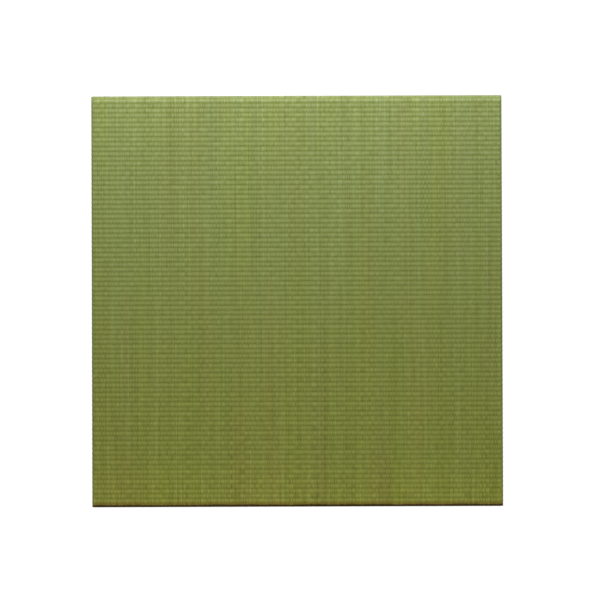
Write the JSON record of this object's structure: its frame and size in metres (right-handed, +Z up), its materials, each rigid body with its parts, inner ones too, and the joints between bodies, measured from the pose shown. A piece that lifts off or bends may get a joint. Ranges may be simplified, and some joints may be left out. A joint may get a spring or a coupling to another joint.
{
  "type": "tatami mat",
  "caption": "Square borderless tatami mat: a thin flat board wrapped in a green woven soft-rush facing, ribbed in fine rows and turned down over all its sides.",
  "frame": {"origin": "under the middle of the mat, on the surface that it lies on", "axes": "+Z up, +X along the woven rows, +Y along the rush towards the back edge"},
  "size_m": [0.82, 0.822, 0.025],
  "materials": {
    "rush_facing": "woven dried soft rush, dull with a slight waxy sheen"
  },
  "bodies": {
    "root": {"tatami_mat": "rush_facing"}
  },
  "joints": []
}
